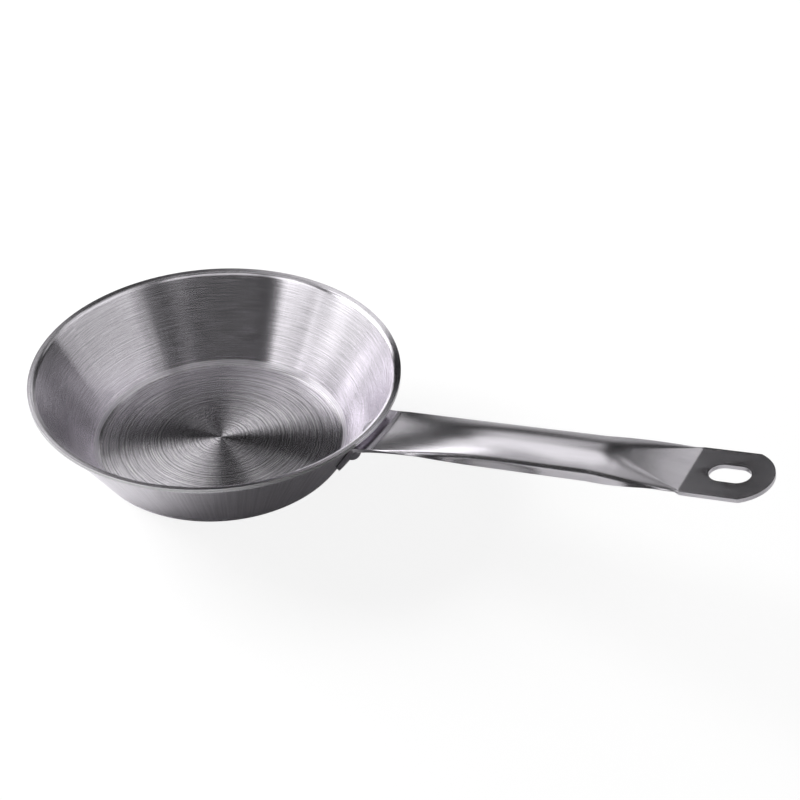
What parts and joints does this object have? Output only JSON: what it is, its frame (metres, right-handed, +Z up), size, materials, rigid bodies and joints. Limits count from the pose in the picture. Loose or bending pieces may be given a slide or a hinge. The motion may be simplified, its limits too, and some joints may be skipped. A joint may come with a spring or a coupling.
{
  "type": "omelette pan",
  "caption": "Small clad omelette pan with straight flared walls, a turned-out lip and a riveted arched strip handle with a hanging slot.",
  "frame": {"origin": "centre of the flat base's underside", "axes": "+Z up out of the pan's mouth, +X along the handle away from the bowl"},
  "size_m": [0.4046, 0.2, 0.0913],
  "materials": {
    "inner_steel": "turned floor rings and brushed wall, satin",
    "core_aluminium": "bare at the cut edge, matt",
    "outer_steel": "satin brushed",
    "handle_steel": "satin, fine grain along the strip",
    "rivet_steel": "smooth pressed heads"
  },
  "bodies": {
    "root": {"inner_ply": "inner_steel", "core_ply": "core_aluminium", "outer_ply": "outer_steel", "handle": "handle_steel", "rivets": "rivet_steel"}
  },
  "joints": []
}
